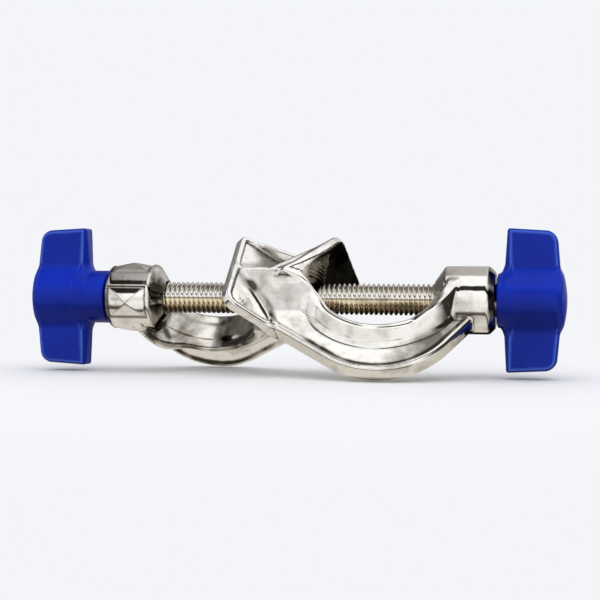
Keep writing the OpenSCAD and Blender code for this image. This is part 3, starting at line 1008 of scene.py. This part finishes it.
def tarnish(x, y, z):
    """How much painted dark reflection and shade the plate gets: on the cones in the throats
    and the bosses' outer ends, painted shade along the seam between web and bead, and each
    hook's own band and patch. The darkest of these counts."""
    dark = np.zeros_like(x)
    for hook, hx, hy, hz in both_hooks(x, y, z):
        on_left = hook is left_hook
        cone_share, end_share = (0.9, 0.55) if on_left else (0.3, 0.95)
        depth, outer = below_throat(hook, hx, hz), outside_arm(hook, hx, hz)
        a, rho = hx - hook["reach"], np.hypot(hy, hz)
        barrel = ease((boss_radius + 0.5 - rho) / 0.4)
        cone = barrel * ease((a + cone_len + 0.6) / 0.3) * ease((0.1 - a) / 0.5)
        end = barrel * ease((a - boss_len + 1.9) / 0.5)
        on_web = ease((web_half + 1.1 - np.abs(hy)) / 0.4) * ease((hx - 5) / 3) * ease(-hz / 3)
        # painted shade in the seam between web and bead
        seam = 1.5 * np.exp(-((outer + bead_thick + 0.15) / 0.5) ** 2) * on_web
        own = left_painted_dark(y, hx, hy, hz, depth) if on_left else right_painted_dark(hx, hz, depth, outer)
        patch = own[1] * ease((rho - boss_radius) / 0.6)
        for part in (cone_share * cone, end_share * end, seam, own[0], patch):
            dark = np.maximum(dark, part)
    return dark


print("helpers: matt, tarnish")

# %% [markdown]
# ### Skin the casting
# The whole casting is meshed at once on cells of 0.4 mm. Its normals are taken over a step
# of a quarter of a millimetre, which softens the shading as the plate softens the edges.
# Where the surface bends inwards sharply there is a crease, which gets painted shade.

# %% Skin the casting
casting_cell = 0.4
low, high = ((np.array(corner) / MM - [0, 0, axis_height]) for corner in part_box("clamp_body"))
points, faces = skin(casting, low, high, casting_cell)
normals, bend = slope(casting, points, 0.25)
hollow = ease((-bend - 0.45) / 1.4)
# the crease value is painted shade, and the last value is painted dark reflections and shade
make("nickel_casting", points, faces.tolist(), unit(normals), nickel, "casting", "casting", "clamp_body",
     crease=0.85 * hollow, matt=matt(*points.T), tarnish=tarnish(*points.T))
print("creases on %.0f %% of the casting" % (100 * (hollow > 0.5).mean()))

# %% [markdown]
# ## Threads
# A screw thread is a profile wound round a line. The radius at a place depends only on how
# far the place is along the screw less its share of one pitch for its share of one turn.
# So a whole thread is one surface of two parameters, turn and length. Each screw has a
# plain shank inside its knob.

# %% Thread surface
pitch, screw_radius, core_radius = 1.25, 3.95, 3.27
around, rows_per_pitch = 64, 14
shank_length = 14


def off_bright_band(height):
    """0 in the band where the thread's painted highlight lies, which is 2.8 mm high with its
    middle 0.4 mm over the screw line, and rising to 1 over 1.6 mm on both sides of it."""
    return ease((np.abs(height - 0.4) - 1.4) / 1.6)


def thread_radius(x, a, tip, end):
    """The wave is 0 at the root and 1 at the crest, flat for about a tenth of the pitch at
    each. The tip is chamfered, and past the end the shank is plain."""
    phase = np.abs(np.mod(x / pitch - a / (2 * np.pi), 1) * 2 - 1)
    wave = ease((phase - 0.08) / 0.8)
    radius = core_radius + (screw_radius - core_radius) * wave
    radius = np.minimum(radius, screw_radius - 0.9 + np.abs(x - tip))
    return np.where(x > end, screw_radius - 0.02, radius)


def thread_normals(radius, length, a):
    """Normals of a shallower thread, shallowest in the band of the painted highlight: the
    radius's slopes along and round the screw, scaled down, taken from straight outwards."""
    slope_share = 0.25 + 0.75 * off_bright_band(radius * np.sin(a))
    along = np.gradient(radius, length, axis=0) * slope_share
    step = 4 * np.pi / around
    round_it = (np.roll(radius, -1, axis=1) - np.roll(radius, 1, axis=1)) / step / radius * slope_share
    normals = [-along, np.cos(a) + round_it * np.sin(a), np.sin(a) - round_it * np.cos(a)]
    ends = [[-1, 0, 0], [1, 0, 0]]
    return unit(np.concatenate([np.stack(normals, axis=-1).reshape(-1, 3), ends]))


print("thread of pitch %.2f mm, %.2f mm deep" % (pitch, screw_radius - core_radius))

# %% [markdown]
# ### Wind and close the thread
# The grid of turn and length becomes four-sided faces, the last column joined to the
# first. A fan of triangles to a middle point closes each end. The left screw is the right
# one's shape turned half round, not mirrored, so both threads stay right-handed.

# %% Threads
def thread(tip, end, head):
    """A right-handed thread from tip to end along x and a plain shank on to head: rings of
    points at each length, and two middle points for the ends."""
    rows = int((end - tip) / pitch * rows_per_pitch)
    length = np.concatenate([np.linspace(tip, end, rows), [end + 0.1, head]])
    turn = np.linspace(0, 2 * np.pi, around, endpoint=False)
    x, a = np.meshgrid(length, turn, indexing="ij")
    radius = thread_radius(x, a, tip, end)
    ring = np.stack([x, radius * np.cos(a), radius * np.sin(a)], axis=-1)
    points = np.concatenate([ring.reshape(-1, 3), [[tip, 0, 0], [head, 0, 0]]])
    i, j = np.meshgrid(np.arange(len(length) - 1), np.arange(around), indexing="ij")
    k = (j + 1) % around
    corners = [i * around + j, i * around + k, (i + 1) * around + k, (i + 1) * around + j]
    quads = np.stack(corners, axis=-1).reshape(-1, 4)
    rim = np.arange(around)
    after = (rim + 1) % around
    base = (len(length) - 1) * around
    near_cap = np.stack([np.full(around, len(points) - 2), after, rim], axis=1)
    far_cap = np.stack([np.full(around, len(points) - 1), base + rim, base + after], axis=1)
    faces = quads.tolist() + near_cap.tolist() + far_cap.tolist()
    return points, faces, thread_normals(radius, length, a)


for side in ("right", "left"):
    box = [np.array(c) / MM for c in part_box(side + "_screw")]
    reach_in, reach_out = sorted(abs(c[0]) for c in box)
    points, faces, normals = thread(reach_in, reach_out - shank_length, reach_out)
    # painted shade in the thread's roots, weaker in the band of the painted highlight
    root = ease((screw_radius - 0.15 - np.hypot(points[:, 1], points[:, 2])) / 0.5)
    off_band = 0.3 + 0.7 * off_bright_band(points[:, 2])
    if side == "left":
        points, normals = half_turn(points), half_turn(normals)
    make(side + "_thread", points, faces, normals, thread_metal,
         side + "_thumb_screw", "screw", side + "_screw", crease=0.4 * root * off_band)

# %% [markdown]
# ## Knobs
# Each knob is a barrel hub with two flat tapering wings and a short round neck, moulded in
# one shot, with every edge soft. It is a distance too, so that wings, hub and neck run
# into each other with real fillets.

# %% Shape of a knob
neck_radius, hub_radius, crown = 6.75, 6.9, 1.5
wing_tip, tip_slant, wing_lean, wing_corner, bevel_depth = 17.7, 0.7, 0.7, 2.6, 1.8
root_thick, tip_thick, root_wide, tip_wide = 7.6, 6.4, 13.6, 12.0
hole_radius, hole_depth = 4.0, 12.8


def wings(a, y, up):
    """Both wings at once, as up is a height without its sign: what the outline from the
    front, the two tapering sides and the bevel beside the neck share, its edges rounded."""
    inner = -(a - wing_lean * np.clip((up - hub_radius) / (wing_tip - hub_radius), 0, 2))
    fall = (wing_tip - tip_slant - hub_radius, root_wide - tip_wide - wing_lean)
    outer = ((a - root_wide) * fall[0] + (up - hub_radius) * fall[1]) / math.hypot(*fall)
    outer = np.where(up < hub_radius, a - root_wide, outer)
    end = up - wing_tip + tip_slant * np.clip((a - wing_lean) / tip_wide, 0, 1.2)
    front_view = shared(shared(outer, end, wing_corner), inner, 0.7)
    side = np.abs(y) - (root_thick / 2 - (root_thick - tip_thick) / 2 * up / wing_tip)
    shelf = root_thick / 2 - tip_thick / 4
    bevel = ((np.abs(y) - tip_thick / 4) * bevel_depth - a * shelf) / math.hypot(bevel_depth, shelf)
    return shared(shared(front_view, side, 1.15), bevel, 0.5)


def knob(neck_length, x, y, z):
    """Wings filleted to a cylinder with a domed end and to the neck, less the hole. x runs
    out along the screw from the neck's face, z along the wings, y across them."""
    a, rho = x - neck_length, np.hypot(y, z)
    ball = (hub_radius ** 2 + crown ** 2) / (2 * crown)
    dome = np.sqrt((a - root_wide - crown + ball) ** 2 + rho ** 2) - ball
    hub = shared(shared(rho - hub_radius, dome, 1.2), -a, 0.8)
    neck = np.maximum(shared(rho - neck_radius, -x, 0.5), a - 3)
    solid = fillet(fillet(wings(a, y, np.abs(z)), hub, 2.4), neck, 0.7)
    hole = np.maximum(rho - hole_radius, x - hole_depth)
    return shared(solid, -hole, 0.2)


print("knob %.1f mm across its wings" % (2 * wing_tip))

# %% [markdown]
# ### Skin the knobs
# The knobs have the same head but necks of different lengths, and each has stopped at its
# own turn. Each is meshed on its own line and then turned, moved out and, on the left,
# brought round to the other side. The wings' soft edges are marked for a painted highlight
# where the surface bends outwards and has just begun to turn away from the wing's flat side.

# %% Skin the knobs
knob_shapes = {"right": dict(turn=-4, neck=1.6), "left": dict(turn=2, neck=5.3)}
knob_cell, knob_across, knob_along = 0.33, 8, 18.4
for side, shape in knob_shapes.items():
    box = [np.array(c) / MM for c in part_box(side + "_knob")]
    neck_x = min(abs(c[0]) for c in box)
    reach = max(abs(c[0]) for c in box) - neck_x

    def field(*at):
        return knob(shape["neck"], *at)

    points, faces = skin(field, [0, -knob_across, -knob_along], [reach, knob_across, knob_along], knob_cell)
    normals, bend = slope(field, points, 0.15)
    facing = np.abs(unit(normals)[:, 1])
    # where the wings' soft edges get a painted highlight
    edge = ease((bend - 0.3) / 0.4) * np.exp(-((facing - 0.88) / 0.09) ** 2)
    edge = edge * ease((np.abs(points[:, 2]) - hub_radius + 0.5) / 1.5)
    cos, sin = (part(math.radians(shape["turn"])) for part in (math.cos, math.sin))
    spin = np.array([[1, 0, 0], [0, cos, sin], [0, -sin, cos]])
    points, normals = points @ spin + [neck_x, 0, 0], unit(normals) @ spin
    if side == "left":
        points, normals = half_turn(points), half_turn(normals)
    make(side + "_wing_knob", points, faces.tolist(), normals, blue, side + "_thumb_knob", "knob",
         side + "_knob", edge=edge)

# %% [markdown]
# ## The two boxes
# The finished pieces should fill the same box as the CAD model they dress, so both boxes
# are written down, to be compared.

# %% The two boxes
low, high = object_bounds()
{"cad": [list(cad_low), list(cad_high)], "visual": [list(low), list(high)]}
print("CAD box", [list(cad_low), list(cad_high)])
print("visual box", [list(low), list(high)])
